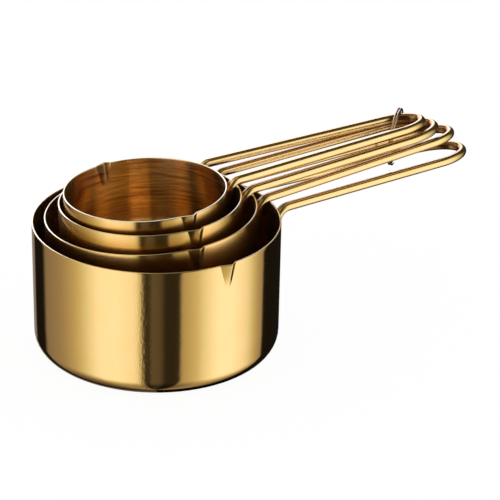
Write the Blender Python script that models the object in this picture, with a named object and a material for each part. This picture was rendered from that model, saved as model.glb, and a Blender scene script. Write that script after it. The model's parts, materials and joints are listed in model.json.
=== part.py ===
# Nest of four measuring cups with bent wire handles, kept together by a split ring.
# Metres, +Z up. The origin is the centre of the largest cup's base, and +X runs along its handle.
import math

import bmesh
import bpy
from mathutils import Euler, Matrix, Vector

# Sheet metal bowls
SHEET = 0.0006
BASE_CORNER = 0.0068
WALL_DRAFT = math.radians(0.3)
QUARTER_HEIGHT = 0.0273
THIRD_EXTRA_HEIGHT = 0.0024
HALF_EXTRA_HEIGHT = 0.0028
ONE_EXTRA_HEIGHT = 0.0138
ONE_RADIUS = 0.0420

# Pouring spouts pressed into both sides of each rim
SPOUT_WIDTH = 0.0062
SPOUT_HEIGHT = 0.0086
SPOUT_REACH = 0.0014
SPOUT_COLUMNS = (-1.0, -0.5, 0.0, 0.5, 1.0)
ONE_SPOUT_TURN = 2.1
HALF_SPOUT_TURN = -5.8
THIRD_SPOUT_TURN = -2.9
QUARTER_SPOUT_TURN = 0.0

# Bent wire handles
WIRE = 0.0032
ONE_REACH = 0.0880
HALF_REACH = 0.0890
THIRD_REACH = 0.0890
QUARTER_REACH = 0.0885
ROOT_SPREAD = 0.0188
ONE_TIP_SPREAD = 0.0148
HALF_TIP_SPREAD = 0.0124
THIRD_TIP_SPREAD = 0.0164
QUARTER_TIP_SPREAD = 0.0126
END_STRETCH = 2.0
ONE_DROP = 0.0025
HALF_DROP = 0.0032
THIRD_DROP = 0.0026
QUARTER_DROP = 0.0017
BEND_RADIUS = 0.0042
QUARTER_BEND_RADIUS = 0.0031
ROOT_LENGTH = 0.0026
# Shares of the root's length, each with the share of the wire's thickness there
ROOT_SHAPE = ((0.0, 0.35), (0.5, 0.76))

# How the cups lie in each other, each measured from the next larger one
FIT_GAP = 0.00035
HALF_SLACK = 0.0039
THIRD_SLACK = 0.0029
QUARTER_SLACK = 0.00115
HALF_BACK_SHIFT = 0.0016
THIRD_BACK_SHIFT = 0.0011
QUARTER_BACK_SHIFT = 0.0016
HALF_SIDE_SHIFT = 0.0012
THIRD_SIDE_SHIFT = -0.0020
QUARTER_SIDE_SHIFT = 0.0002
HALF_TILT = 2.8
THIRD_TILT = -1.0
QUARTER_TILT = 0.1
HALF_LEAN = -2.0
THIRD_LEAN = 0.1
QUARTER_LEAN = -0.1
HALF_YAW = -1.1
THIRD_YAW = 1.6
QUARTER_YAW = -0.1
ONE_RISE = 0.4
HALF_RISE = 0.3
THIRD_RISE = 0.2
QUARTER_RISE = -1.0

# Split ring through the far ends of the handles
RING_WIRE = 0.00072
RING_STRAND_GAP = 0.00045
RING_CLEARANCE = 0.00064
RING_TURNS = 2
RING_ADVANCE = 0.0069
RING_YAW = -48.0
RING_LEAN = 5.0

# Mesh density
WALL_COLUMNS = 40
CORNER_STEPS = 4
BEND_STEPS = 5
END_STEPS = 12
LOOP_POINTS = 24
WIRE_SIDE_STEPS = 2
RING_SIDE_STEPS = 1
SHARP_EDGE = math.radians(40)

BOWL_COLOUR = (0.80, 0.56, 0.20, 1.0)
WIRE_COLOUR = (0.84, 0.62, 0.25, 1.0)
RING_COLOUR = (0.70, 0.55, 0.30, 1.0)
BOWL_ROUGHNESS = 0.16
WIRE_ROUGHNESS = 0.12
RING_ROUGHNESS = 0.20

WIRE_RADIUS = WIRE / 2
REST_STEP = WIRE_RADIUS / 8


class Cup:
    # One cup of the nest, with its frame at the centre of its rim

    def __init__(self, name, radius, height, spout_turn, drop, bend, reach, tip_spread, rise):
        self.name = name
        self.radius = radius
        self.height = height
        self.spout_turn = math.radians(spout_turn)
        self.drop = drop
        self.bend = bend
        self.reach = reach
        self.tip_spread = tip_spread
        self.rise = math.tan(math.radians(rise))
        self.frame = Matrix.Translation((0, 0, height))

    def inner_radius(self):
        return self.radius - SHEET


def nested_radius(outer, slack):
    # The bowl and its wire roots go into the next bowl with this much slack on each side
    return outer.inner_radius() - WIRE_RADIUS - slack


def make_cups():
    third_height = QUARTER_HEIGHT + THIRD_EXTRA_HEIGHT
    half_height = third_height + HALF_EXTRA_HEIGHT
    one_height = half_height + ONE_EXTRA_HEIGHT
    one = Cup("one_cup", ONE_RADIUS, one_height, ONE_SPOUT_TURN,
              ONE_DROP, BEND_RADIUS, ONE_REACH, ONE_TIP_SPREAD, ONE_RISE)
    half = Cup("half_cup", nested_radius(one, HALF_SLACK), half_height, HALF_SPOUT_TURN,
               HALF_DROP, BEND_RADIUS, HALF_REACH, HALF_TIP_SPREAD, HALF_RISE)
    third = Cup("third_cup", nested_radius(half, THIRD_SLACK), third_height, THIRD_SPOUT_TURN,
                THIRD_DROP, BEND_RADIUS, THIRD_REACH, THIRD_TIP_SPREAD, THIRD_RISE)
    quarter = Cup("quarter_cup", nested_radius(third, QUARTER_SLACK), QUARTER_HEIGHT, QUARTER_SPOUT_TURN,
                  QUARTER_DROP, QUARTER_BEND_RADIUS, QUARTER_REACH, QUARTER_TIP_SPREAD, QUARTER_RISE)
    rest_in(half, one, (-HALF_BACK_SHIFT, HALF_SIDE_SHIFT, 0),
            turned(HALF_TILT, HALF_LEAN, HALF_YAW))
    rest_in(third, half, (-THIRD_BACK_SHIFT, THIRD_SIDE_SHIFT, 0),
            turned(THIRD_TILT, THIRD_LEAN, THIRD_YAW))
    rest_in(quarter, third, (-QUARTER_BACK_SHIFT, QUARTER_SIDE_SHIFT, 0),
            turned(QUARTER_TILT, QUARTER_LEAN, QUARTER_YAW))
    return one, half, third, quarter


def turned(tilt, lean, yaw):
    # Positive tilt lifts the handle, positive lean lifts the +Y side
    angles = (math.radians(lean), -math.radians(tilt), math.radians(yaw))
    return Euler(angles, "XYZ").to_matrix().to_4x4()


def rest_in(cup, outer, shift, turn):
    # The cup hangs on the outer cup's rim by the two legs of its handle
    shift = Vector(shift)
    rim_radius = outer.radius - SHEET / 2
    reach = WIRE_RADIUS + SHEET / 2 + FIT_GAP
    lift = -cup.height
    for point in dense(handle_path(cup)):
        place = turn @ point + shift
        off_rim = math.hypot(place.x, place.y) - rim_radius
        if place.x > 0 and abs(off_rim) < reach:
            clear = math.sqrt(reach ** 2 - off_rim ** 2) - SHEET / 2
            lift = max(lift, clear - place.z)
    cup.frame = outer.frame @ Matrix.Translation(shift + Vector((0, 0, lift))) @ turn


def root_distance(cup):
    # Distance of the wire's centre from the cup's axis, along the handle
    around = cup.radius + FIT_GAP + WIRE_RADIUS
    return math.sqrt(around ** 2 - (ROOT_SPREAD / 2) ** 2)


def leg_end(cup):
    # Where the straight legs meet the round end of the loop
    return cup.radius + cup.reach - WIRE_RADIUS - END_STRETCH * cup.tip_spread / 2


def half_handle(cup):
    # From the pointed root on the wall to the end of one straight leg, with each point's thickness
    root_x = root_distance(cup)
    root_y = ROOT_SPREAD / 2
    bend_z = -cup.drop - cup.bend
    tip_z = bend_z - ROOT_LENGTH
    points = []
    for share, thickness in ROOT_SHAPE:
        inset = WIRE_RADIUS * (1 - thickness)
        points.append((Vector((root_x - inset, root_y, tip_z + share * ROOT_LENGTH)), thickness))
    for step in range(BEND_STEPS + 1):
        angle = math.pi / 2 * step / BEND_STEPS
        x = root_x + cup.bend * (1 - math.cos(angle))
        z = bend_z + cup.bend * math.sin(angle)
        points.append((Vector((x, root_y, z)), 1.0))
    end_x = leg_end(cup)
    end_z = -cup.drop + cup.rise * (end_x - root_x - cup.bend)
    points.append((Vector((end_x, cup.tip_spread / 2, end_z)), 1.0))
    return points


def loop_end(cup):
    # The long round end that joins the two legs
    start = half_handle(cup)[-1][0]
    radius = cup.tip_spread / 2
    points = []
    for step in range(1, END_STEPS):
        angle = math.pi / 2 - math.pi * step / END_STEPS
        along = END_STRETCH * radius * math.cos(angle)
        place = Vector((start.x + along, radius * math.sin(angle), start.z + cup.rise * along))
        points.append((place, 1.0))
    return points


def handle_points(cup):
    back = half_handle(cup)
    front = [(Vector((p.x, -p.y, p.z)), thickness) for p, thickness in reversed(back)]
    return back + loop_end(cup) + front


def handle_path(cup):
    return [point for point, thickness in handle_points(cup)]


def dense(points):
    # The same line with points close enough to test how it rests
    line = [points[0]]
    for start, end in zip(points, points[1:]):
        count = max(1, math.ceil((end - start).length / REST_STEP))
        for step in range(1, count + 1):
            line.append(start.lerp(end, step / count))
    return line


def make_material(name, colour, roughness):
    material = bpy.data.materials.new(name)
    material.use_nodes = True
    shader = material.node_tree.nodes["Principled BSDF"]
    shader.inputs["Base Color"].default_value = colour
    shader.inputs["Roughness"].default_value = roughness
    shader.inputs["Metallic"].default_value = 1.0
    material.diffuse_color = colour
    return material


def add_object(name, data, material):
    data.materials.append(material)
    piece = bpy.data.objects.new(name, data)
    bpy.context.collection.objects.link(piece)
    return piece


def bowl_profile(cup):
    # Outer side from base to rim, then inner side from rim to floor, as radius and height above the base
    slope = math.tan(WALL_DRAFT)
    profile = []
    for inset, corner, outward in ((0.0, BASE_CORNER, True), (SHEET, BASE_CORNER - SHEET, False)):
        foot = cup.radius - inset - (cup.height - BASE_CORNER) * slope
        side = []
        for step in range(CORNER_STEPS + 1):
            angle = math.pi / 2 * step / CORNER_STEPS
            radius = foot - corner * (1 - math.sin(angle))
            side.append((radius, inset + corner * (1 - math.cos(angle))))
        for below_rim in (SPOUT_HEIGHT, SPOUT_HEIGHT / 2, 0.0):
            side.append((cup.radius - inset - below_rim * slope, cup.height - below_rim))
        profile += side if outward else side[::-1]
    return profile


def off_spout(cup, angle):
    # Angle from the middle of the nearer spout
    return abs((angle - cup.spout_turn) % math.pi - math.pi / 2)


def column_angles(cup):
    # Even columns round the wall, with extra ones at the edges and middle of each spout
    spout_edge = SPOUT_WIDTH / 2 / cup.radius
    spout_angles = []
    for side in (math.pi / 2, -math.pi / 2):
        for share in SPOUT_COLUMNS:
            spout_angles.append((side + cup.spout_turn + share * spout_edge) % math.tau)
    clear = spout_edge + math.pi / WALL_COLUMNS
    angles = list(spout_angles)
    for step in range(WALL_COLUMNS):
        angle = math.tau * step / WALL_COLUMNS
        if off_spout(cup, angle) > clear:
            angles.append(angle)
    return sorted(angles)


def spout_push(cup, angle, height):
    # How far the wall is pushed out: a V that narrows to nothing below the rim
    level = 1 - (cup.height - height) / SPOUT_HEIGHT
    if level <= 0:
        return 0.0
    off_middle = off_spout(cup, angle) * cup.radius
    return SPOUT_REACH * max(0.0, level - off_middle / (SPOUT_WIDTH / 2))


def make_bowl(cup, material):
    mesh = bpy.data.meshes.new(cup.name + "_bowl")
    bm = bmesh.new()
    profile = bowl_profile(cup)
    columns = []
    for angle in column_angles(cup):
        column = []
        for radius, height in profile:
            out = radius + spout_push(cup, angle, height)
            place = (out * math.cos(angle), out * math.sin(angle), height - cup.height)
            column.append(bm.verts.new(place))
        columns.append(column)
    base = bm.verts.new((0, 0, -cup.height))
    floor = bm.verts.new((0, 0, SHEET - cup.height))
    for column, after in zip(columns, columns[1:] + columns[:1]):
        for low in range(len(profile) - 1):
            bm.faces.new((column[low], after[low], after[low + 1], column[low + 1]))
        bm.faces.new((base, after[0], column[0]))
        bm.faces.new((floor, column[-1], after[-1]))
    bmesh.ops.recalc_face_normals(bm, faces=bm.faces)
    bm.to_mesh(mesh)
    bm.free()
    mesh.shade_smooth()
    mesh.set_sharp_from_angle(angle=SHARP_EDGE)
    return add_object(cup.name + "_bowl", mesh, material)


def make_tube(name, points, diameter, side_steps, material):
    # A round wire through the points, each with its own share of the diameter
    curve = bpy.data.curves.new(name, "CURVE")
    curve.dimensions = "3D"
    curve.bevel_depth = diameter / 2
    curve.bevel_resolution = side_steps
    curve.use_fill_caps = True
    spline = curve.splines.new("POLY")
    spline.points.add(len(points) - 1)
    for knot, (place, thickness) in zip(spline.points, points):
        knot.co = (*place, 1.0)
        knot.radius = thickness
    return add_object(name, curve, material)


def leg_at(cup, x):
    # World place of the back leg's centre at a distance along the nest's X axis
    back = [point for point, thickness in half_handle(cup) + loop_end(cup) if point.y >= 0]
    line = [cup.frame @ point for point in dense(back)]
    return min(line, key=lambda point: abs(point.x - x))


def ring_seat(cups):
    # Middle of the stack of back legs, and the reach of the outer two from it
    lowest = cups[0]
    topmost = cups[-1]
    end = topmost.frame @ half_handle(topmost)[-1][0]
    low = leg_at(lowest, end.x + RING_ADVANCE)
    high = leg_at(topmost, end.x + RING_ADVANCE)
    return (low + high) / 2, (high - low).length / 2


def ring_points(inner_radius):
    # A wire wound round the ring's own Z axis, its strands side by side
    radius = inner_radius + RING_WIRE / 2
    pitch = RING_WIRE + RING_STRAND_GAP
    last = RING_TURNS * LOOP_POINTS
    points = []
    for step in range(last + 1):
        angle = math.tau * step / LOOP_POINTS
        rise = pitch * (step - last / 2) / LOOP_POINTS
        points.append(Vector((radius * math.cos(angle), radius * math.sin(angle), rise)))
    return points


def least_gap(points):
    # Smallest clear distance between strands that are half a turn or more apart along the wire
    apart = LOOP_POINTS // 2
    pairs = ((a, b) for i, a in enumerate(points) for b in points[i + apart:])
    return min((a - b).length for a, b in pairs) - RING_WIRE


def make_ring(cups, material):
    centre, stack_reach = ring_seat(cups)
    turn = Euler((0, math.radians(90 + RING_LEAN), math.radians(RING_YAW)), "XYZ").to_matrix()
    inner_radius = stack_reach + WIRE_RADIUS + RING_CLEARANCE
    points = ring_points(inner_radius)
    print("keeper_ring least gap mm", round(least_gap(points) * 1000, 3))
    ring = make_tube("keeper_ring", [(p, 1.0) for p in points], RING_WIRE, RING_SIDE_STEPS, material)
    ring.location = centre
    ring.rotation_euler = turn.to_euler("XYZ")
    print("keeper_ring centre m", [round(c, 5) for c in centre],
          "axis", [round(c, 5) for c in turn @ Vector((0, 0, 1))],
          "inner radius m", round(inner_radius, 5))
    return centre


def add_swing(cup_name, place, parent):
    # An empty on the line about which the cup swings up at the ring
    swing = bpy.data.objects.new(cup_name + "_swing", None)
    bpy.context.collection.objects.link(swing)
    swing.location = place if parent is None else (0, 0, 0)
    swing.parent = parent
    return swing


def build():
    for old in list(bpy.data.objects):
        bpy.data.objects.remove(old, do_unlink=True)
    bowl_gold = make_material("bowl_gold", BOWL_COLOUR, BOWL_ROUGHNESS)
    wire_gold = make_material("wire_gold", WIRE_COLOUR, WIRE_ROUGHNESS)
    ring_gold = make_material("ring_gold", RING_COLOUR, RING_ROUGHNESS)
    cups = make_cups()
    ring_centre = make_ring(cups, ring_gold)
    hinge = Vector((ring_centre.x, 0, leg_at(cups[0], ring_centre.x).z))
    print("swing line m", [round(c, 5) for c in hinge])
    swing = None
    for cup in cups:
        pieces = (make_bowl(cup, bowl_gold),
                  make_tube(cup.name + "_handle", handle_points(cup), WIRE, WIRE_SIDE_STEPS, wire_gold))
        if cup is not cups[0]:
            swing = add_swing(cup.name, hinge, swing)
        for piece in pieces:
            piece.parent = swing
            offset = hinge if swing else Vector()
            piece.location = cup.frame.translation - offset
            piece.rotation_euler = cup.frame.to_euler("XYZ")
        print(cup.name, "rim centre m", [round(c, 5) for c in cup.frame.translation],
              "radius m", round(cup.radius, 5), "height m", round(cup.height, 5))


build()
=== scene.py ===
# Looks for the nest of gold measuring cups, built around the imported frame.
import json
import math

import bpy
import bmesh
from mathutils import Euler, Matrix, Vector


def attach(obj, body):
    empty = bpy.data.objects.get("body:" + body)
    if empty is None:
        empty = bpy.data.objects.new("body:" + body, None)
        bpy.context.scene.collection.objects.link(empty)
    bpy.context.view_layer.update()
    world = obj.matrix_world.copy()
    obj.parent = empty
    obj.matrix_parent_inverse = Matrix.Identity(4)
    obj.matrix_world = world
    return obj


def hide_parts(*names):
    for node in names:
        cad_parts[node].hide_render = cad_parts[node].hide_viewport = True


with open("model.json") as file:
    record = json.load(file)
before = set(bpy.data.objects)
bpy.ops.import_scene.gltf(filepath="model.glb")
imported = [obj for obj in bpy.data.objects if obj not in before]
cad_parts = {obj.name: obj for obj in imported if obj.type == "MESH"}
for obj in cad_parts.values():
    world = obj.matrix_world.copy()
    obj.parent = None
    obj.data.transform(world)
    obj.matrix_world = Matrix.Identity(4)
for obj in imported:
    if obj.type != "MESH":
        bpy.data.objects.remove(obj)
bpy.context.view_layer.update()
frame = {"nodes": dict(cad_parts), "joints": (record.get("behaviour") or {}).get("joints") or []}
print("frame loaded:", sorted(frame["nodes"]))


# Shader maths: a signal is one socket, and operators on signals add Math nodes

class Signal:
    def __init__(self, shade, socket):
        self.shade = shade
        self.socket = socket

    def maths(self, operation, first, second=0.0):
        return self.shade.node("ShaderNodeMath", {"operation": operation}, {0: first, 1: second})

    def __add__(self, other):
        return self.maths("ADD", self, other)

    def __radd__(self, other):
        return self.maths("ADD", other, self)

    def __sub__(self, other):
        return self.maths("SUBTRACT", self, other)

    def __rsub__(self, other):
        return self.maths("SUBTRACT", other, self)

    def __mul__(self, other):
        return self.maths("MULTIPLY", self, other)

    def __rmul__(self, other):
        return self.maths("MULTIPLY", other, self)

    def __truediv__(self, other):
        return self.maths("DIVIDE", self, other)

    def __rtruediv__(self, other):
        return self.maths("DIVIDE", other, self)

    def __pow__(self, other):
        return self.maths("POWER", self, other)

    def __rpow__(self, other):
        return self.maths("POWER", other, self)


class Shade:
    def __init__(self, tree):
        self.tree = tree
        tree.nodes.clear()

    # Any node: its type, its settings, then the values or links of its sockets
    def node(self, kind, settings=None, sockets=None, out=0):
        made = self.tree.nodes.new(kind)
        for key, value in (settings or {}).items():
            if key == "stops":
                self.setStops(made.color_ramp, value)
            else:
                setattr(made, key, value)
        for key, value in (sockets or {}).items():
            if isinstance(value, Signal):
                self.tree.links.new(value.socket, made.inputs[key])
            else:
                made.inputs[key].default_value = value
        return Signal(self, made.outputs[out]) if made.outputs else made

    def setStops(self, ramp, stops):
        while len(ramp.elements) < len(stops):
            ramp.elements.new(1.0)
        for element, (place, shown) in zip(ramp.elements, stops):
            element.position = place
            element.color = opaque(shown if isinstance(shown, tuple) else (shown,) * 3)

    def axes(self, vector):
        return [self.node("ShaderNodeSeparateXYZ", None, {0: vector}, out) for out in range(3)]

    def vector(self, x, y, z):
        return self.node("ShaderNodeCombineXYZ", None, {0: x, 1: y, 2: z})

    # Across and up have their own scales, so that marks are drawn out one way
    def drawnOut(self, x, y, z, scales):
        across, up = scales
        return self.vector(x * across, y * across, z * up)

    def noise(self, vector, scale=1.0, detail=2.0, roughness=0.5):
        return self.node("ShaderNodeTexNoise", None,
                         {"Vector": vector, "Scale": scale, "Detail": detail, "Roughness": roughness})

    def fade(self, value, start, end):
        return self.node("ShaderNodeMapRange", {"interpolation_type": "SMOOTHSTEP"},
                         {"Value": value, "From Min": start, "From Max": end})

    def mixColour(self, factor, first, second):
        return self.node("ShaderNodeMix", {"data_type": "RGBA"}, {0: factor, 6: first, 7: second}, 2)

    # Painted shade: where pieces lie close together the colour is darkened, as shade falls there
    def paintShadeWhereClose(self, look, colour):
        openness = self.node("ShaderNodeAmbientOcclusion", {"samples": 8},
                             {"Distance": look["paintedShadeReach"]}, 1)
        return self.mixColour(self.fade(openness, *look["paintedShadeTurn"]), opaque(look["paintedShadeGold"]), colour)

    def bump(self, height, distance, below=None):
        sockets = {"Strength": 1.0, "Distance": distance, "Height": height}
        if below:
            sockets["Normal"] = below
        return self.node("ShaderNodeBump", None, sockets)


def opaque(colour):
    return (*colour, 1.0)


def newMaterial(name):
    material = bpy.data.materials.new(name)
    material.use_nodes = True
    return material, Shade(material.node_tree)


def finishMetal(shade, colour, roughness, normal, fixed=None):
    sockets = {"Base Color": colour, "Roughness": roughness, "Normal": normal, "Metallic": 1.0}
    sockets.update(fixed or {})
    metal = shade.node("ShaderNodeBsdfPrincipled", None, sockets)
    shade.node("ShaderNodeOutputMaterial", None, {"Surface": metal})


# The outsides: the inner cups rub against the next one, and are drawn out up and down
openPolishedLook = {
    "gold": (0.93, 0.61, 0.215),
    "deepGold": (0.90, 0.575, 0.180),
    "cloudScale": 120.0,
    "roughness": 0.06,
    "lineRoughness": 0.05,
    "lineScale": (70, 2600),  # round the wall and up it
    "lineHeight": 0.0000012,
    "waveScale": (420, 260),
    "waveHeight": 0.000008,
    "wornBearing": -2.23,
    "wornWidth": 0.11,
    "wornScale": (1500, 800),
    "wornHeight": 0.000018,
    "stretch": 0.0,
    "stretchTurn": 0.25,
    # Painted shade where the cups lie close together
    "paintedShadeGold": (0.52, 0.22, 0.035),
    "paintedShadeReach": 0.0,
    "paintedShadeTurn": (0.20, 0.95),
    # Painted shade: darker amber below the rim
    "paintedShadeDepth": 0.0,
    "paintedShadeAmber": (0.86, 0.475, 0.100),
}
nestPolishedLook = {
    **openPolishedLook,
    "gold": (0.90, 0.59, 0.200),
    "deepGold": (0.86, 0.55, 0.170),
    "roughness": 0.15,
    "wornHeight": 0.0,
    "stretch": 1.0,
    "paintedShadeReach": 0.010,
    "paintedShadeDepth": 0.0038,
}


def polishedGold(name, look):
    material, shade = newMaterial(name)
    place = shade.node("ShaderNodeTexCoord", None, None, 3)
    x, y, z = shade.axes(place)
    lines = shade.noise(shade.drawnOut(x, y, z, look["lineScale"]), detail=3.0, roughness=0.6)
    waves = shade.noise(shade.drawnOut(x, y, z, look["waveScale"]))
    cloud = shade.noise(place, look["cloudScale"])
    colour = shade.mixColour(cloud, opaque(look["gold"]), opaque(look["deepGold"]))
    if look["paintedShadeDepth"]:  # painted shade: darker amber below the rim
        shadedBelowRim = shade.fade(z, -look["paintedShadeDepth"], 0.0)
        colour = shade.mixColour(shadedBelowRim, opaque(look["paintedShadeAmber"]), colour)
    # Painted shade where the cup lies close to the next one
    if look["paintedShadeReach"]:
        colour = shade.paintShadeWhereClose(look, colour)
    roughness = look["roughness"] + lines * look["lineRoughness"]
    # A strip of the wall is a little less even than the rest
    offStrip = (x.maths("ARCTAN2", y, x) - look["wornBearing"]) / look["wornWidth"]
    strip = math.e ** (offStrip * offStrip * -1.0)
    pits = shade.noise(shade.drawnOut(x, y, z, look["wornScale"]), roughness=0.6)
    swell = shade.bump(waves * look["waveHeight"] + pits * strip * look["wornHeight"], 1.0)
    finishMetal(shade, colour, roughness, shade.bump(lines, look["lineHeight"], swell),
                {"Anisotropic": look["stretch"], "Anisotropic Rotation": look["stretchTurn"]})
    return material


# The insides: the open one of the smallest cup is worn rougher than those that lie covered
openBrushedLook = {
    "gold": (0.96, 0.655, 0.245),
    "deepGold": (0.49, 0.28, 0.095),
    "roughness": 0.13,
    "lineRoughness": 0.14,
    "fineScale": (110, 2300),
    "broadScale": (60, 1300),
    "broadShare": 0.4,
    "lineTurn": (0.34, 0.62),
    "lineHeight": 0.000012,
    "stretch": 0.92,
    "stretchTurn": 0.25,
    # Painted shade where the walls lie close together
    "paintedShadeGold": (0.42, 0.225, 0.072),
    "paintedShadeReach": 0.022,
    "paintedShadeTurn": (0.45, 0.95),
    # Painted highlight near the rim
    "rimHighlightTurn": (-0.016, -0.001),
    "rimHighlightGold": (1.0, 0.71, 0.30),
}
nestBrushedLook = {
    **openBrushedLook,
    "gold": (0.78, 0.48, 0.18),
    "deepGold": (0.46, 0.25, 0.085),
    "roughness": 0.16,
    "lineHeight": 0.000010,
    "stretch": 0.80,
    "paintedShadeReach": 0.0,
}


def brushedGold(name, look):
    material, shade = newMaterial(name)
    x, y, z = shade.axes(shade.node("ShaderNodeTexCoord", None, None, 3))
    turned = z + (x * x + y * y) ** 0.5  # lines run round the wall, and in rings on the floor
    fine = shade.noise(shade.drawnOut(x, y, turned, look["fineScale"]), detail=3.0, roughness=0.65)
    broad = shade.noise(shade.drawnOut(x, y, turned, look["broadScale"]))
    lines = fine * (1 - look["broadShare"]) + broad * look["broadShare"]
    bright = shade.fade(lines, *look["lineTurn"])
    colour = shade.mixColour(bright, opaque(look["deepGold"]), opaque(look["gold"]))
    # Painted shade where the walls lie close together
    if look["paintedShadeReach"]:
        colour = shade.paintShadeWhereClose(look, colour)
        # Painted highlight: towards the rim the bright lines are paler
        worn = bright * shade.fade(z, *look["rimHighlightTurn"])
        colour = shade.mixColour(worn, colour, opaque(look["rimHighlightGold"]))
    roughness = look["roughness"] + lines * look["lineRoughness"]
    finishMetal(shade, colour, roughness, shade.bump(lines, look["lineHeight"]),
                {"Anisotropic": look["stretch"], "Anisotropic Rotation": look["stretchTurn"]})
    return material


edgeLook = {
    "pale": (0.99, 0.88, 0.47),
    "worn": (0.95, 0.82, 0.40),
    "roughness": 0.24,
    "wearRoughness": 0.10,
    "wearScale": 900.0,
    "wearHeight": 0.000006,
}


def cutEdge():
    look = edgeLook
    material, shade = newMaterial("cutEdge")
    place = shade.node("ShaderNodeTexCoord", None, None, 3)
    wear = shade.noise(place, look["wearScale"], detail=3.0, roughness=0.6)
    colour = shade.mixColour(wear, opaque(look["pale"]), opaque(look["worn"]))
    roughness = look["roughness"] + wear * look["wearRoughness"]
    finishMetal(shade, colour, roughness, shade.bump(wear, look["wearHeight"]))
    return material


wireLook = {
    "gold": (0.94, 0.67, 0.245),
    "deepGold": (0.90, 0.61, 0.195),
    # Painted shade where the wires lie close together
    "paintedShadeGold": (0.50, 0.31, 0.11),
    "paintedShadeReach": 0.010,
    "paintedShadeTurn": (0.45, 0.95),
    "heatTint": (0.92, 0.56, 0.32),
    # Painted shade inside the end bend
    "bendShadeGold": (0.30, 0.15, 0.05),
    "heatTurn": (0.25, 1.0),
    "heatCloud": 0.3,
    "heatRoughness": 0.02,
    "bendShadeTurn": (0.10, 0.70),
    "cloudScale": 160.0,
    "roughness": 0.19,
    "drawRoughness": 0.06,
    "drawScale": (60, 1500),
    "drawHeight": 0.0000006,
}


def wireGold():
    look = wireLook
    material, shade = newMaterial("wireGold")
    place = shade.node("ShaderNodeTexCoord", None, None, 3)
    x, y, z = shade.axes(place)
    alongScale, acrossScale = look["drawScale"]
    drawn = shade.noise(shade.vector(x * alongScale, y * acrossScale, z * acrossScale), roughness=0.6)
    cloud = shade.noise(place, look["cloudScale"])
    gold = shade.mixColour(cloud, opaque(look["gold"]), opaque(look["deepGold"]))
    # Painted shade where the wires lie close together
    gold = shade.paintShadeWhereClose(look, gold)
    # Painted shade: the wire is dark inside the end bend
    bend = shade.node("ShaderNodeAttribute", {"attribute_name": "endBend"}, None, 2)
    gold = shade.mixColour(shade.fade(bend, *look["bendShadeTurn"]), gold, opaque(look["bendShadeGold"]))
    weld = shade.node("ShaderNodeAttribute", {"attribute_name": "weldHeat"}, None, 2)
    # The weld has coloured the root
    heat = shade.fade(weld + cloud * look["heatCloud"], *look["heatTurn"])
    colour = shade.mixColour(heat, gold, opaque(look["heatTint"]))
    roughness = look["roughness"] + drawn * look["drawRoughness"] + heat * look["heatRoughness"]
    finishMetal(shade, colour, roughness, shade.bump(drawn, look["drawHeight"]))
    return material


ringLook = {
    "pale": (0.80, 0.60, 0.28),
    "deep": (0.52, 0.36, 0.14),
    "roughness": 0.12,
    "wearRoughness": 0.10,
    "wearScale": 700.0,
    "wearHeight": 0.000004,
}


def ringGold():
    look = ringLook
    material, shade = newMaterial("ringGold")
    place = shade.node("ShaderNodeTexCoord", None, None, 3)
    wear = shade.noise(place, look["wearScale"], detail=3.0, roughness=0.6)
    colour = shade.mixColour(wear, opaque(look["pale"]), opaque(look["deep"]))
    roughness = look["roughness"] + wear * look["wearRoughness"]
    finishMetal(shade, colour, roughness, shade.bump(wear, look["wearHeight"]))
    return material


# Mesh helpers

def meshPiece(name, points, faces, materials, faceSlots=None):
    mesh = bpy.data.meshes.new(name)
    mesh.from_pydata([tuple(p) for p in points], [], faces)
    for material in materials:
        mesh.materials.append(material)
    if faceSlots:
        mesh.polygons.foreach_set("material_index", faceSlots)
    work = bmesh.new()
    work.from_mesh(mesh)
    bmesh.ops.recalc_face_normals(work, faces=work.faces)
    work.to_mesh(mesh)
    work.free()
    mesh.shade_smooth()
    piece = bpy.data.objects.new(name, mesh)
    bpy.context.scene.collection.objects.link(piece)
    return piece


# A closed tube along a path: at each point two half thicknesses, across and along the first side
def sweepTube(path, halves, firstSide, sides):
    points = []
    faces = []
    side = Vector(firstSide)
    count = len(path)
    for i, place in enumerate(path):
        ahead = path[min(i + 1, count - 1)] - path[max(i - 1, 0)]
        ahead.normalize()
        side = side - ahead * side.dot(ahead)
        side.normalize()
        cross = ahead.cross(side)
        wide, tall = halves[i]
        for k in range(sides):
            angle = math.tau * k / sides
            points.append(place + side * (wide * math.cos(angle)) + cross * (tall * math.sin(angle)))
    for i in range(count - 1):
        for k in range(sides):
            a = i * sides + k
            b = i * sides + (k + 1) % sides
            faces.append((a, b, b + sides, a + sides))
    for ring, end in ((0, path[0]), (count - 1, path[-1])):
        tip = len(points)
        points.append(end)
        for k in range(sides):
            faces.append((tip, ring * sides + k, ring * sides + (k + 1) % sides))
    return points, faces


# The four cups: radius at the rim, height, and the shape of the handle

cupSet = [
    {"name": "one_cup", "radius": 0.0420, "height": 0.0463, "drop": 0.0025, "bend": 0.0042,
     "reach": 0.0880, "tipSpread": 0.0148, "rise": 0.4, "spoutTurn": 2.1},
    {"name": "half_cup", "radius": 0.0359, "height": 0.0325, "drop": 0.0032, "bend": 0.0042,
     "reach": 0.0890, "tipSpread": 0.0124, "rise": 0.3, "spoutTurn": -5.8},
    {"name": "third_cup", "radius": 0.0308, "height": 0.0297, "drop": 0.0026, "bend": 0.0042,
     "reach": 0.0890, "tipSpread": 0.0164, "rise": 0.2, "spoutTurn": -2.9},
    {"name": "quarter_cup", "radius": 0.02745, "height": 0.0273, "drop": 0.0017, "bend": 0.0031,
     "reach": 0.0885, "tipSpread": 0.0126, "rise": -1.0, "spoutTurn": 0.0},
]
placing = {"downward": -0.99, "sameFacing": 0.99999}


def middleOf(faces):
    return sum((face.center * face.area for face in faces), Vector()) / sum(face.area for face in faces)


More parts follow.
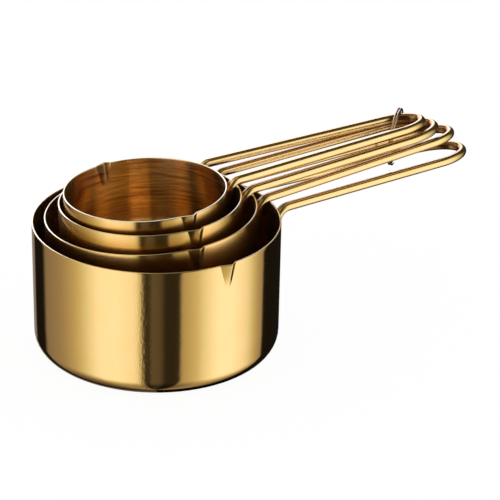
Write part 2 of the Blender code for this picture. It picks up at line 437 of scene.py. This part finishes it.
# A cup lies where its CAD bowl does, with its origin at the middle of the rim and +X along its handle
def cupMatrix(cup):
    faces = frame["nodes"][cup["name"] + "_bowl"].data.polygons
    under = [face for face in faces if face.normal.z < placing["downward"]]
    broadest = max(under, key=lambda face: face.area)
    base = [face for face in under if face.normal.dot(broadest.normal) > placing["sameFacing"]]
    up = -sum((face.normal * face.area for face in base), Vector()).normalized()
    middle = middleOf(base)
    along = middleOf(frame["nodes"][cup["name"] + "_handle"].data.polygons) - middle
    along = (along - up * along.dot(up)).normalized()
    matrix = Matrix((along, up.cross(along), up)).transposed().to_4x4()
    matrix.translation = middle + up * cup["height"]
    return matrix


bowlForm = {
    "sheet": 0.0006,
    "baseCorner": 0.0068,
    "draft": 0.3,
    "rimRound": 0.00024,
    "spoutWidth": 0.0062,
    "spoutHeight": 0.0086,
    "spoutTip": 0.28,
    "spoutReach": 0.0013,
    "ridgeShare": 0.25,
    "farPower": 1.05,
    "nearPower": 1.3,
    "spoutZone": 2.0,
    "plainColumns": 72,
    "cornerSteps": 12,
    "wallRows": 4,
    "spoutRows": 9,
    "rimSteps": 4,
}
spoutShares = (-1.0, -0.93, -0.80, -0.62, -0.42, -0.22, -0.05, 0.10, 0.20, 0.25,
               0.30, 0.38, 0.48, 0.60, 0.73, 0.85, 0.94, 1.0)  # towards the handle is positive
besideShares = (0.03, 0.12, 0.35, 0.65)


# One side of the sheet from the middle of the base or floor up to the rim: radius, height, slot
def bowlSide(cup, inset, slot):
    form = bowlForm
    slope = math.tan(math.radians(form["draft"]))
    corner = form["baseCorner"] - inset
    foot = cup["radius"] - inset - (cup["height"] - form["baseCorner"]) * slope
    rows = []
    for step in range(form["cornerSteps"] + 1):
        angle = math.pi / 2 * step / form["cornerSteps"]
        rows.append((foot - corner * (1 - math.sin(angle)),
                     inset - cup["height"] + corner * (1 - math.cos(angle)), slot))
    low = form["baseCorner"] - cup["height"]
    tip = -form["spoutHeight"]
    for step in range(1, form["wallRows"] + 1):
        z = low + (tip - low) * step / form["wallRows"]
        rows.append((cup["radius"] - inset + z * slope, z, slot))
    top = -form["rimRound"]
    for step in range(1, form["spoutRows"] + 1):
        z = tip + (top - tip) * step / form["spoutRows"]
        rows.append((cup["radius"] - inset + z * slope, z, slot))
    return rows


def bowlRows(cup):
    form = bowlForm
    outside = bowlSide(cup, 0.0, 0)
    inside = bowlSide(cup, form["sheet"], 1)
    rim = []
    for step in range(1, form["rimSteps"] + 1):
        angle = math.pi / 2 * step / form["rimSteps"]
        rim.append((form["rimRound"] * (1 - math.cos(angle)), form["rimRound"] * (math.sin(angle) - 1)))
    bare = form["rimSteps"] // 2  # only the top of the rim is bare metal
    outerRim = [(cup["radius"] - inward, z, 2 if i >= bare else 0) for i, (inward, z) in enumerate(rim)]
    innerRim = [(cup["radius"] - form["sheet"] + inward, z, 2 if i >= bare else 1)
                for i, (inward, z) in reversed(list(enumerate(rim)))]
    return outside + outerRim + innerRim + inside[::-1]


# Columns as (middle angle of the spout or None, share, beside share); spout columns move with the height
def bowlColumns(cup):
    form = bowlForm
    zone = form["spoutWidth"] / 2 * form["spoutZone"] / cup["radius"]
    columns = []
    for side in (-1, 1):
        middle = side * math.pi / 2 + math.radians(cup["spoutTurn"])
        spout = [(middle, -1.0, share) for share in reversed(besideShares)]
        spout += [(middle, share, 0.0) for share in spoutShares]
        spout += [(middle, 1.0, share) for share in besideShares]
        columns += spout if side < 0 else spout[::-1]
        start = middle + zone
        length = math.pi - 2 * zone
        half = form["plainColumns"] // 2
        columns += [(None, start + length * step / half, 0.0) for step in range(half + 1)]
    return columns


def bowlPoint(cup, column, radius, z):
    form = bowlForm
    middle, share, beside = column
    if middle is None:
        return Vector((radius * math.cos(share), radius * math.sin(share), z))
    level = max(0.0, 1 + z / form["spoutHeight"])
    halfWidth = form["spoutWidth"] / 2 * (form["spoutTip"] + (1 - form["spoutTip"]) * level)
    zone = form["spoutWidth"] / 2 * form["spoutZone"]
    offset = share * halfWidth
    push = 0.0
    if beside:
        offset += math.copysign(beside * (zone - halfWidth), share)
    else:
        ridge = form["ridgeShare"]
        if share < ridge:
            fall = ((ridge - share) / (1 + ridge)) ** form["farPower"]
        else:
            fall = ((share - ridge) / (1 - ridge)) ** form["nearPower"]
        push = form["spoutReach"] * level * (1 - fall)
    angle = middle - math.copysign(offset / cup["radius"], middle * offset)
    return Vector(((radius + push) * math.cos(angle), (radius + push) * math.sin(angle), z))


def makeBowl(cup, materials):
    name = cup["name"] + "_bowl"
    rows = bowlRows(cup)
    columns = bowlColumns(cup)
    points = [bowlPoint(cup, column, radius, z) for column in columns for radius, z, slot in rows]
    height = len(rows)
    faces = []
    faceSlots = []
    base = len(points)
    points += [Vector((0, 0, -cup["height"])), Vector((0, 0, bowlForm["sheet"] - cup["height"]))]
    for c in range(len(columns)):
        here = c * height
        after = (c + 1) % len(columns) * height
        for r in range(height - 1):
            faces.append((here + r, after + r, after + r + 1, here + r + 1))
            faceSlots.append(max(rows[r][2], rows[r + 1][2]))
        faces.append((base, after, here))
        faceSlots.append(0)
        faces.append((base + 1, here + height - 1, after + height - 1))
        faceSlots.append(1)
    bowl = meshPiece("shaped_" + name, points, faces, materials, faceSlots)
    bowl.matrix_world = cupMatrix(cup)
    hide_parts(name)
    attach(bowl, cup["name"])


wireForm = {
    "thickness": 0.0032,
    "endStretch": 2.0,
    "rootSpread": 0.0188,
    "rootLength": 0.0050,
    "wallGap": 0.00035,
    "weldSink": 0.00012,
    "weldShare": 0.4,
    "tipThickness": 0.20,
    "tipWidth": 0.34,
    "taperSteps": 10,
    "taperPower": 0.75,
    "bendSteps": 12,
    "legSteps": 4,
    "endSteps": 30,
    "bendFade": 2.5,
    "sides": 20,
}


# From the pointed root on the wall up to the end of one leg: place, half thickness, half width
def halfHandle(cup):
    form = wireForm
    half = form["thickness"] / 2
    around = cup["radius"] + form["wallGap"] + half
    rootY = form["rootSpread"] / 2
    rootX = math.sqrt(around ** 2 - rootY ** 2)
    bendZ = -cup["drop"] - cup["bend"]
    tipZ = bendZ - form["rootLength"]
    inward = form["wallGap"] + form["weldSink"]
    line = []
    for step in range(form["taperSteps"]):
        share = step / form["taperSteps"]
        ease = share ** form["taperPower"]
        thick = form["tipThickness"] + (1 - form["tipThickness"]) * ease
        wide = form["tipWidth"] + (1 - form["tipWidth"]) * ease
        x = rootX - inward - half * (1 - thick)
        line.append((Vector((x, rootY, tipZ + share * form["rootLength"])), half * thick, half * wide))
    for step in range(form["bendSteps"] + 1):
        angle = math.pi / 2 * step / form["bendSteps"]
        x = rootX + cup["bend"] * (1 - math.cos(angle)) - inward * (1 - math.sin(angle))
        line.append((Vector((x, rootY, bendZ + cup["bend"] * math.sin(angle))), half, half))
    start = line[-1][0]
    endX = cup["radius"] + cup["reach"] - half - form["endStretch"] * cup["tipSpread"] / 2
    slope = math.tan(math.radians(cup["rise"]))
    end = Vector((endX, cup["tipSpread"] / 2, start.z + slope * (endX - start.x)))
    for step in range(1, form["legSteps"] + 1):
        line.append((start.lerp(end, step / form["legSteps"]), half, half))
    return line


# How far each point of the wire lies on the inner side of the loop's round end, from 0 to 1, for the
# painted shade there
def endBendShares(cup, line, points):
    form = wireForm
    half = form["thickness"] / 2
    radius = cup["tipSpread"] / 2
    endX = cup["radius"] + cup["reach"] - half - form["endStretch"] * radius
    shares = []
    for i, p in enumerate(points):
        middle = line[min(i // form["sides"], len(line) - 1)][0]
        along = (middle.x - endX) / (form["endStretch"] * radius)
        inward = Vector((-along / form["endStretch"], -middle.y / radius, 0)).normalized()
        facing = (p - middle).dot(inward) / half
        shares.append(max(0.0, facing) * min(1.0, max(0.0, along * form["bendFade"])))
    return shares


def makeHandle(cup, material):
    form = wireForm
    name = cup["name"] + "_handle"
    back = halfHandle(cup)
    half = form["thickness"] / 2
    end = back[-1][0]
    radius = cup["tipSpread"] / 2
    slope = math.tan(math.radians(cup["rise"]))
    line = list(back)
    for step in range(1, form["endSteps"]):
        angle = math.pi / 2 - math.pi * step / form["endSteps"]
        along = form["endStretch"] * radius * math.cos(angle)
        line.append((Vector((end.x + along, radius * math.sin(angle), end.z + slope * along)), half, half))
    line += [(Vector((p.x, -p.y, p.z)), thick, wide) for p, thick, wide in reversed(back)]
    points, faces = sweepTube([p for p, thick, wide in line], [(thick, wide) for p, thick, wide in line],
                              (1, 0, 0), form["sides"])
    matrix = cupMatrix(cup)
    handle = meshPiece("shaped_" + name, [matrix @ p for p in points], faces, [material])
    weldTop = -cup["drop"] - cup["bend"] * form["weldShare"]
    heat = handle.data.attributes.new("weldHeat", "FLOAT", "POINT")
    heat.data.foreach_set("value", [min(1.0, max(0.0, (weldTop - p.z) / cup["bend"])) for p in points])
    # Painted shade on the inner side of the end bend
    bend = handle.data.attributes.new("endBend", "FLOAT", "POINT")
    bend.data.foreach_set("value", endBendShares(cup, line, points))
    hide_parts(name)
    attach(handle, cup["name"])


ringForm = {
    "turn": (0, 95.0, -48.0),
    "innerRadius": 0.00972,
    "wire": 0.00072,
    "strandGap": 0.00012,
    "turns": 2,
    "turnPoints": 56,
    "endPoints": 5,
    "endShare": 0.12,
    "sides": 14,
}


def makeRing(material):
    form = ringForm
    half = form["wire"] / 2
    radius = form["innerRadius"] + half
    last = form["turns"] * form["turnPoints"]
    path = []
    halves = []
    for step in range(last + 1):
        angle = math.tau * step / form["turnPoints"]
        rise = (form["wire"] + form["strandGap"]) * (step - last / 2) / form["turnPoints"]
        path.append(Vector((radius * math.cos(angle), radius * math.sin(angle), rise)))
        toEnd = min(step, last - step) / form["endPoints"]
        size = half * math.sqrt(max(form["endShare"], 1 - max(0.0, 1 - toEnd) ** 2))
        halves.append((size, size))
    points, faces = sweepTube(path, halves, (1, 0, 0), form["sides"])
    turn = Euler([math.radians(a) for a in form["turn"]], "XYZ").to_matrix().to_4x4()
    centre = next(joint["pos_m"] for joint in frame["joints"] if joint["child"] == "keeper_ring")
    matrix = Matrix.Translation(centre) @ turn
    ring = meshPiece("shaped_keeper_ring", [matrix @ p for p in points], faces, [material])
    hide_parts("keeper_ring")
    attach(ring, "keeper_ring")


# Studio: white floor, white surroundings with two bright walls and dark cards, seen by the metal

cameraView = {
    "bearing": 31.6,
    "elevation": 27.16,
    "distance": 0.9,
    "focalPixels": 2615.0,
    "frame": 500.0,
    "originPixel": (156.6, 342.1),
}


def makeCamera():
    view = cameraView
    bearing = math.radians(view["bearing"])
    elevation = math.radians(view["elevation"])
    ahead = Vector((math.sin(bearing) * math.cos(elevation), math.cos(bearing) * math.cos(elevation),
                    -math.sin(elevation)))
    right = Vector((math.cos(bearing), -math.sin(bearing), 0))
    up = right.cross(ahead)
    middle = view["frame"] / 2
    aim = ahead + right * (middle - view["originPixel"][0]) / view["focalPixels"]
    aim += up * (view["originPixel"][1] - middle) / view["focalPixels"]
    swing = ahead.rotation_difference(aim).to_matrix()
    facing = Matrix((swing @ right, swing @ up, swing @ -ahead)).transposed().to_4x4()
    data = bpy.data.cameras.new("photoCamera")
    data.sensor_width = 36.0
    data.lens = view["focalPixels"] / view["frame"] * data.sensor_width
    camera = bpy.data.objects.new("photoCamera", data)
    bpy.context.scene.collection.objects.link(camera)
    camera.matrix_world = Matrix.Translation(-ahead * view["distance"]) @ facing
    bpy.context.scene.camera = camera


studioLook = {
    "lowTurn": (-0.12, 0.04),
    "topTurn": (0.59, 0.72),
    "underTurn": (-0.55, -0.95),
    "underShade": 0.72,
    # Brightness round the object by degrees to the right of the camera, below the horizon
    "lowWalls": [
        (-180, 0.30), (-156, 0.28), (-153, 0.01), (-130, 0.01), (-124, 0.26), (-107, 0.34), (-98, 0.40),
        (-90, 0.49), (-82, 0.60), (-75, 0.73), (-68, 0.88), (-61, 1.05), (-54, 1.25), (-37, 1.28),
        (-20, 1.08), (-15, 0.75), (-12, 0.04), (-7, 0.04), (-4, 0.13), (4, 0.10), (8, 0.03), (21, 0.03),
        (24, 0.50), (38, 0.73), (50, 1.08), (60, 1.34), (76, 1.33), (91, 1.05), (109, 0.50), (115, 0.40),
        (118, 0.01), (163, 0.01),
    ],
    # The same above the horizon, where the white backdrop stands behind the object
    "highWalls": [
        (-180, 1.70), (-168, 1.70), (-156, 2.20), (-134, 2.20), (-129, 0.02), (-124, 0.26), (-107, 0.34),
        (-90, 0.49), (-75, 0.73), (-61, 1.05), (-54, 1.20), (-37, 1.20), (-18, 0.95), (-12, 0.04),
        (-4, 0.10), (4, 0.08), (36, 0.03), (44, 0.80), (52, 1.10), (60, 1.30), (76, 1.30), (91, 1.05),
        (109, 0.50), (115, 0.40), (118, 0.02), (167, 0.02), (174, 1.70),
    ],
    # And overhead, where one side is dark
    "topWalls": [(-180, 0.03), (-134, 0.03), (-112, 0.95), (-25, 0.90), (0, 0.03)],
    "zenithTurn": (0.90, 0.98),
    "zenithLevel": 0.45,
    # The walls are warm where they are dim and cool where they are bright
    "brightest": 2.2,
    "tints": [(0.0, (1.0, 0.90, 0.85)), (0.40, (0.95, 0.85, 0.80)), (0.60, (0.93, 0.90, 0.70)),
              (0.78, (0.94, 0.97, 0.90)), (0.95, (0.96, 1.05, 1.20)), (1.32, (1.0, 1.0, 1.32)),
              (1.50, (1.0, 1.02, 1.70))],
}


def makeStudioLight():
    look = studioLook
    world = bpy.data.worlds.new("studio")
    world.use_nodes = True
    bpy.context.scene.world = world
    shade = Shade(world.node_tree)
    x, y, z = shade.axes(shade.node("ShaderNodeTexCoord"))
    bearing = math.radians(cameraView["bearing"])
    toRight = x * math.cos(bearing) - y * math.sin(bearing)
    toCamera = x * -math.sin(bearing) - y * math.cos(bearing)
    round360 = toRight.maths("ARCTAN2", toRight, toCamera) / math.tau + 0.5
    low, high, top = [shade.node("ShaderNodeValToRGB",
                                 {"stops": [(degrees / 360 + 0.5, level) for degrees, level in look[side]]},
                                 {0: round360}) for side in ("lowWalls", "highWalls", "topWalls")]
    above = shade.fade(z, *look["lowTurn"])
    level = low * (1 - above) + high * above
    under = shade.fade(z, *look["underTurn"])
    level = level * (1 - under * look["underShade"])
    overhead = shade.fade(z, *look["topTurn"])
    zenith = shade.fade(z, *look["zenithTurn"])
    top = top * (1 - zenith) + zenith * look["zenithLevel"]
    level = level * (1 - overhead) + top * overhead
    tint = shade.node("ShaderNodeValToRGB",
                      {"stops": [(bright / look["brightest"], colour) for bright, colour in look["tints"]]},
                      {0: level / look["brightest"]})
    lit = shade.node("ShaderNodeVectorMath", {"operation": "SCALE"}, {0: tint, "Scale": level})
    isGlossy = shade.node("ShaderNodeLightPath", None, None, 3)
    shown = shade.mixColour(isGlossy, opaque((1.0, 1.0, 1.0)), lit)
    back = shade.node("ShaderNodeBackground", None, {"Color": shown, "Strength": 1.0})
    shade.node("ShaderNodeOutputWorld", None, {"Surface": back})


floorLook = {"half": 3.0, "steps": 24, "white": 1.0, "shadowShare": 0.05}


def makeFloor():
    look = floorLook
    step = 2 * look["half"] / look["steps"]
    count = look["steps"] + 1
    points = [Vector((-look["half"] + step * i, -look["half"] + step * j, 0.0))
              for i in range(count) for j in range(count)]
    faces = [(i * count + j, (i + 1) * count + j, (i + 1) * count + j + 1, i * count + j + 1)
             for i in range(count - 1) for j in range(count - 1)]
    material, shade = newMaterial("whiteFloor")
    paint = shade.node("ShaderNodeBsdfDiffuse", None, {"Color": opaque((look["white"],) * 3)})
    glow = shade.node("ShaderNodeEmission", None, {"Color": opaque((1.0, 1.0, 1.0)), "Strength": 1.0})
    both = shade.node("ShaderNodeMixShader", None, {0: look["shadowShare"], 1: glow, 2: paint})
    shade.node("ShaderNodeOutputMaterial", None, {"Surface": both})
    floor = meshPiece("studio_floor", points, faces, [material])
    floor.visible_glossy = False  # the metal sees the walls of the studio, below the horizon too


makeCamera()
makeStudioLight()
makeFloor()
print("studio made")

openOutside = polishedGold("openPolishedGold", openPolishedLook)
nestOutside = polishedGold("nestPolishedGold", nestPolishedLook)
edge = cutEdge()
nestInside = brushedGold("nestBrushedGold", nestBrushedLook)
openInside = brushedGold("openBrushedGold", openBrushedLook)
wireMaterial = wireGold()
for cup in cupSet:
    makeBowl(cup, [openOutside if cup is cupSet[0] else nestOutside,
                   openInside if cup is cupSet[-1] else nestInside, edge])
    makeHandle(cup, wireMaterial)
    print("made", cup["name"])
makeRing(ringGold())
print("made keeper_ring")

bpy.context.scene.view_settings.view_transform = "Standard"
